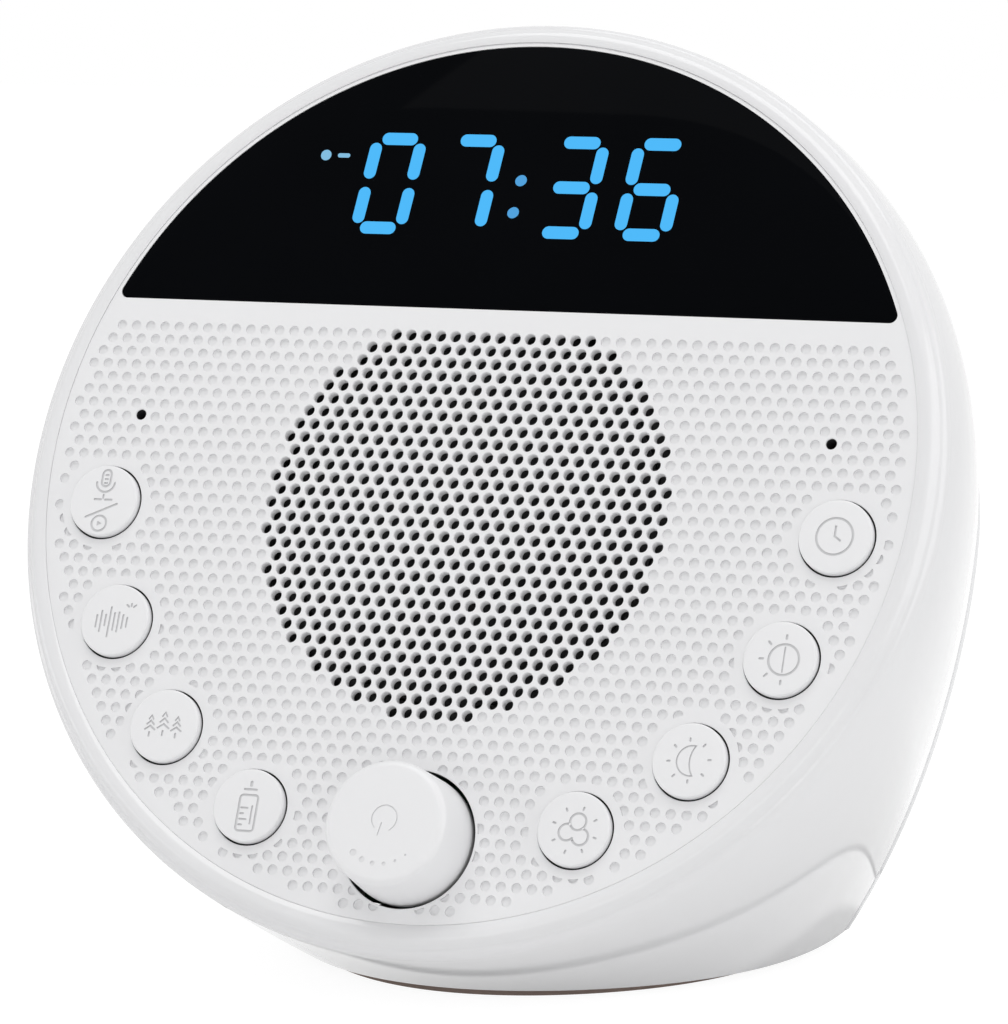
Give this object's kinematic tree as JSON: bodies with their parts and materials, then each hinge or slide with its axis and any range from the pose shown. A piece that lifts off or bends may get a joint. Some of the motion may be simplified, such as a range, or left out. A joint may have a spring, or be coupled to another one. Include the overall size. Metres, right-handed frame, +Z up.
{
  "type": "white noise sound machine",
  "caption": "Bedside sound machine with a tilted round face: speaker grille, clock display, ring of push buttons and a turn-and-press volume knob.",
  "frame": {"origin": "middle of the rubber foot, on the surface that the part stands on", "axes": "+X to the right seen from the front, +Y to the back, +Z up; the face looks along -Y and leans back"},
  "size_m": [0.1278, 0.0808, 0.1238],
  "materials": {
    "gloss_white": "glossy injection-moulded shell",
    "matt_white": "fine matt moulding",
    "button_white": "satin moulding",
    "lens_black": "polished dark lens",
    "foot_rubber": "matt rubber pad",
    "black_plastic": "moulded",
    "board_green": "solder mask",
    "led_yellow": "clear resin over phosphor",
    "switch_red": "moulded",
    "steel": "plated steel",
    "gasket_foam": "closed-cell foam",
    "boot_rubber": "soft rubber",
    "cone_paper": "pressed black paper",
    "spider_fabric": "resin-dipped cloth",
    "coil_copper": "enamelled copper wire",
    "ferrite": "ferrite ring",
    "capacitor_can": "printed sleeve",
    "connector_ivory": "moulded",
    "cable_film": "laminated film",
    "wire_red": "insulated wire",
    "screw_steel": "blackened steel"
  },
  "bodies": {
    "case": {"housing": "gloss_white", "front_panel": "matt_white", "display_lens": "lens_black", "rear_cover": "gloss_white", "rubber_foot": "foot_rubber", "display_module": "black_plastic", "front_board": "board_green", "tact_switches": "black_plastic", "night_light_leds": "led_yellow", "encoder_body": "steel", "microphones": "steel", "microphone_boots": "boot_rubber", "speaker_gasket": "gasket_foam", "speaker_basket": "steel", "speaker_surround": "boot_rubber", "spider": "spider_fabric", "top_plate": "steel", "magnet": "ferrite", "yoke": "steel", "main_board": "board_green", "usb_c_socket": "steel", "board_chips": "black_plastic", "board_capacitors": "capacitor_can", "backup_cell": "steel", "backup_cell_holder": "black_plastic", "ribbon_cable": "cable_film", "ribbon_connectors": "connector_ivory", "speaker_wires": "wire_red", "panel_screws": "screw_steel", "speaker_screws": "screw_steel", "front_board_screws": "screw_steel", "main_board_screws": "screw_steel", "rear_cover_screws": "screw_steel"},
    "record_key": {"record_button": "button_white", "record_plunger": "switch_red"},
    "sound_key": {"sound_button": "button_white", "sound_plunger": "switch_red"},
    "nature_key": {"nature_button": "button_white", "nature_plunger": "switch_red"},
    "lullaby_key": {"lullaby_button": "button_white", "lullaby_plunger": "switch_red"},
    "clock_key": {"clock_button": "button_white", "clock_plunger": "switch_red"},
    "brightness_key": {"brightness_button": "button_white", "brightness_plunger": "switch_red"},
    "night_light_key": {"night_light_button": "button_white", "night_light_plunger": "switch_red"},
    "color_key": {"color_button": "button_white", "color_plunger": "switch_red"},
    "knob_push": {"encoder_plunger": "connector_ivory"},
    "knob_turn": {"knob_cap": "button_white", "encoder_shaft": "steel"},
    "speaker_coil_assembly": {"speaker_cone": "cone_paper", "dust_cap": "cone_paper", "voice_coil": "coil_copper"}
  },
  "joints": [
    {"name": "record_press", "type": "slide", "parent": "case", "child": "record_key", "axis": [0, 0.9092, -0.4163], "range_m": [0, 0.0005], "stiffness_N_per_m": 3000, "springref_m": -0.0002},
    {"name": "sound_press", "type": "slide", "parent": "case", "child": "sound_key", "axis": [0, 0.9092, -0.4163], "range_m": [0, 0.0005], "stiffness_N_per_m": 3000, "springref_m": -0.0002},
    {"name": "nature_press", "type": "slide", "parent": "case", "child": "nature_key", "axis": [0, 0.9092, -0.4163], "range_m": [0, 0.0005], "stiffness_N_per_m": 3000, "springref_m": -0.0002},
    {"name": "lullaby_press", "type": "slide", "parent": "case", "child": "lullaby_key", "axis": [0, 0.9092, -0.4163], "range_m": [0, 0.0005], "stiffness_N_per_m": 3000, "springref_m": -0.0002},
    {"name": "clock_press", "type": "slide", "parent": "case", "child": "clock_key", "axis": [0, 0.9092, -0.4163], "range_m": [0, 0.0005], "stiffness_N_per_m": 3000, "springref_m": -0.0002},
    {"name": "brightness_press", "type": "slide", "parent": "case", "child": "brightness_key", "axis": [0, 0.9092, -0.4163], "range_m": [0, 0.0005], "stiffness_N_per_m": 3000, "springref_m": -0.0002},
    {"name": "night_light_press", "type": "slide", "parent": "case", "child": "night_light_key", "axis": [0, 0.9092, -0.4163], "range_m": [0, 0.0005], "stiffness_N_per_m": 3000, "springref_m": -0.0002},
    {"name": "color_press", "type": "slide", "parent": "case", "child": "color_key", "axis": [0, 0.9092, -0.4163], "range_m": [0, 0.0005], "stiffness_N_per_m": 3000, "springref_m": -0.0002},
    {"name": "knob_press", "type": "slide", "parent": "case", "child": "knob_push", "axis": [0, 0.9092, -0.4163], "range_m": [0, 0.0005], "stiffness_N_per_m": 4000, "springref_m": -0.0003},
    {"name": "knob_rotate", "type": "hinge", "parent": "knob_push", "child": "knob_turn", "pos_m": [0, -0.04126, 0.02264], "axis": [0, -0.9092, 0.4163], "continuous": true},
    {"name": "speaker_cone_travel", "type": "slide", "parent": "case", "child": "speaker_coil_assembly", "axis": [0, -0.9092, 0.4163], "range_m": [-0.0008, 0.0008], "stiffness_N_per_m": 1200}
  ]
}
